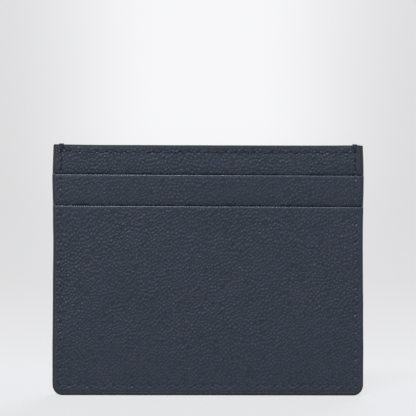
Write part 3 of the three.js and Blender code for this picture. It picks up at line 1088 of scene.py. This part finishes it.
def thread_material():
    """Thread in two tones, darker where its painted shade says so."""
    material, s = new_material("Navy thread")
    tone = s.blend(s.noise(500), colour(*THREAD_DEEP), colour(*THREAD_PALE))
    # painted shade on the thread over the top strip
    tone = s.blend(s.span(s.attribute("shade"), 0, 0.85), tone, colour(*THREAD_DARK))
    s.set(Base_Color=tone, Roughness=0.6, Specular_IOR_Level=0.3)
    s.set(Normal=s.bump(s.noise(6000), 0.5))
    return material


def twill_material():
    """Woven lining: diagonal ribs crossed by finer ones."""
    material, s = new_material("Dark twill")
    ribs = s.add("TexWave", Vector=s.place(), bands_direction="DIAGONAL", Scale=900.0)
    cross = s.add("TexWave", Vector=s.place(), bands_direction="X", Scale=1500.0)
    weave = s.blend(0.5, ribs.outputs["Color"], cross.outputs["Color"], "MULTIPLY")
    tone = s.blend(weave, colour(*TWILL_DEEP), colour(*TWILL_PALE))
    s.set(Base_Color=tone, Roughness=0.8, Sheen_Weight=0.2)
    s.set(Normal=s.bump(weave, 0.7, distance=0.00005))
    return material


def board_material():
    """Mottled grey board."""
    material, s = new_material("Grey board")
    fibres = s.noise(700, detail=4, roughness=0.7)
    s.set(Base_Color=s.blend(fibres, colour(*BOARD_DEEP), colour(*BOARD_PALE)), Roughness=0.85)
    s.set(Normal=s.bump(s.noise(2500, detail=3), 0.4))
    return material


# ---- The card holder ----


def finish_piece(made, material, replaced):
    """Gives a piece its material, sets the body it rides with and hides the CAD nodes it replaces.
    """
    made.data.materials.append(material)
    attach(made, "root")
    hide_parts(*replaced)


def add_linings(side, ply, lining, tape, seed):
    """The woven plies behind one leather ply."""
    made = {}
    for node in filter(None, (lining, tape)):
        made[node] = woven_ply(side, node, ply, seed)
        finish_piece(made[node], twill, [f"{side}_{node}"])


def add_row(side, row, node, holes, depth, seed):
    """A seam of one half that lies on a single ply, whose outer face is at a depth."""
    stitches = seam_stitches(side, holes, lambda x, z: depth + 0 * x, seed)
    made = joined_threads(f"{side}_{row}_stitching", stitches)
    finish_piece(made, thread, [f"{side}_{node}"])


leather = leather_material()
side_paint = paint_material("Charcoal edge paint", SIDE_PAINT, SIDE_ROUGH)
top_paint = paint_material("Worn charcoal edge paint", SIDE_PAINT, TOP_ROUGH)
# navy paint on the mouths, made paler in part as a painted highlight
mouth_paint_and_highlight = paint_material("Navy edge paint and painted highlight", MOUTH_PAINT_AND_HIGHLIGHT, MOUTH_ROUGH)
thread = thread_material()
twill = twill_material()
board = board_material()

finish_piece(side_coat(), side_paint, SIDE_PAINT_NODES)
side_seams = []
for number, side in enumerate(SIDES):
    plies = leather_plies(side)
    for order, ply in enumerate(plies):
        made = leather_panel(side, ply, 100 * number + 20 * order)
        finish_piece(made, leather, [f"{side}_{ply.node}"])
    for order, (ply, (lining, tape)) in enumerate(zip(plies, CLOTH_NODES)):
        add_linings(side, ply, lining, tape, CLOTH_SEED + 10 * number + order)
    for order, (ply, node) in enumerate(zip(plies, RIM_NODES)):
        arris, paint = (TOP_ARRIS, top_paint) if order == 0 else (MOUTH_ARRIS, mouth_paint_and_highlight)
        made = rim_coat(side, node, ply, arris, RIM_SEED + 10 * number + order)
        finish_piece(made, paint, [f"{side}_{node}"])
    side_seams += seam_stitches(side, perimeter_holes(), face_level, SIDE_SEAM_SEED + number)
    top_row, stop_row = top_row_holes(side), stop_row_holes()
    add_row(side, "top", "top_seam_thread", top_row, BODY[1], TOP_SEAM_SEED + number)
    add_row(side, "stop", "slot_stop_thread", stop_row, SLOT_LINING[1], STOP_SEAM_SEED + number)
    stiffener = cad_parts[f"{side}_body_stiffener"]
    stiffener.data.materials.clear()
    stiffener.data.materials.append(board)
perimeter = joined_threads("perimeter_stitching", side_seams + wrap_strands())
finish_piece(perimeter, thread, ["perimeter_seam_thread"])

# ---- Camera ----

camera_data = bpy.data.cameras.new("camera")
camera_data.lens = LENS
camera_data.sensor_width = SENSOR
camera = bpy.data.objects.new("camera", camera_data)
distance = FRAME_WIDTH * LENS / SENSOR
camera.location = (CAMERA_SIDE * MM, -(distance + POCKET[1]) * MM, CAMERA_HEIGHT * MM)
camera.rotation_euler = (math.radians(90), math.radians(CAMERA_ROLL), 0)
bpy.context.scene.collection.objects.link(camera)
bpy.context.scene.camera = camera
bpy.context.scene.view_settings.view_transform = "Standard"

# ---- Lights, surroundings and floor ----


def area_light(name, place_at, size, watts):
    """A soft cool light aimed at the holder's middle."""
    data = bpy.data.lights.new(name, "AREA")
    data.shape = "RECTANGLE"
    data.size, data.size_y = size
    data.energy = watts
    data.color = COOL
    light = bpy.data.objects.new(name, data)
    light.location = place_at
    aim = Vector((0, 0, TOP / 2 * MM)) - light.location
    light.rotation_euler = aim.to_track_quat("-Z", "Y").to_euler()
    bpy.context.scene.collection.objects.link(light)


def surroundings():
    """A pale studio with a glow at even places round it, and its dimmer light on the holder."""
    world = bpy.data.worlds.new("studio")
    bpy.context.scene.world = world
    world.use_nodes = True
    s = Shader(world.node_tree)
    split = s.add("SeparateXYZ", Vector=s.add("TexCoord").outputs["Generated"])
    x, y, z = split.outputs
    turn = s.math("PINGPONG", s.math("ARCTAN2", x, y), math.pi / GLOW_PLACES)
    glow = s.math("MULTIPLY", s.ease(turn, GLOW_EDGE, (1, 0)), s.ease(z, GLOW_RISE, (0, 1)))
    backdrop = s.add("ValToRGB", Fac=s.ease(z, (-SKY_SPAN, SKY_SPAN), (0, 1), "LINEAR"))
    ramp = backdrop.color_ramp
    while len(ramp.elements) < len(SKY):
        ramp.elements.new(0.5)
    for element, (height, level) in zip(ramp.elements, SKY):
        element.position = (height + SKY_SPAN) / (2 * SKY_SPAN)
        element.color = colour(level, level, SKY_BLUE * level)
    seen = s.blend(glow, backdrop.outputs["Color"], colour(*GLOW))
    on_object = s.add("Background", Color=colour(*AMBIENT))
    to_camera = s.add("Background", Color=seen)
    path = s.add("LightPath").outputs["Is Camera Ray"]
    mix = s.add("MixShader", Fac=path)
    s.join(on_object.outputs[0], mix.inputs[1])
    s.join(to_camera.outputs[0], mix.inputs[2])
    s.join(mix.outputs[0], s.nodes["World Output"].inputs["Surface"])


def pale_floor():
    """A disc at the holder's foot that catches its soft shadow and fades into the studio."""
    bpy.ops.mesh.primitive_circle_add(vertices=96, radius=FLOOR_RADIUS, fill_type="NGON")
    floor = bpy.context.object
    floor.name = "floor"
    material, s = new_material("Pale floor")
    s.set(Base_Color=colour(*FLOOR), Roughness=0.9, Specular_IOR_Level=0.0)
    away = s.add("VectorMath", operation="LENGTH")
    s.join(s.place(), away.inputs[0])
    s.set(Alpha=s.ease(away.outputs["Value"], FLOOR_FADE, (FLOOR_SHARE, 0)))
    floor.data.materials.append(material)


for light in LIGHTS:
    area_light(*light)
surroundings()
pale_floor()
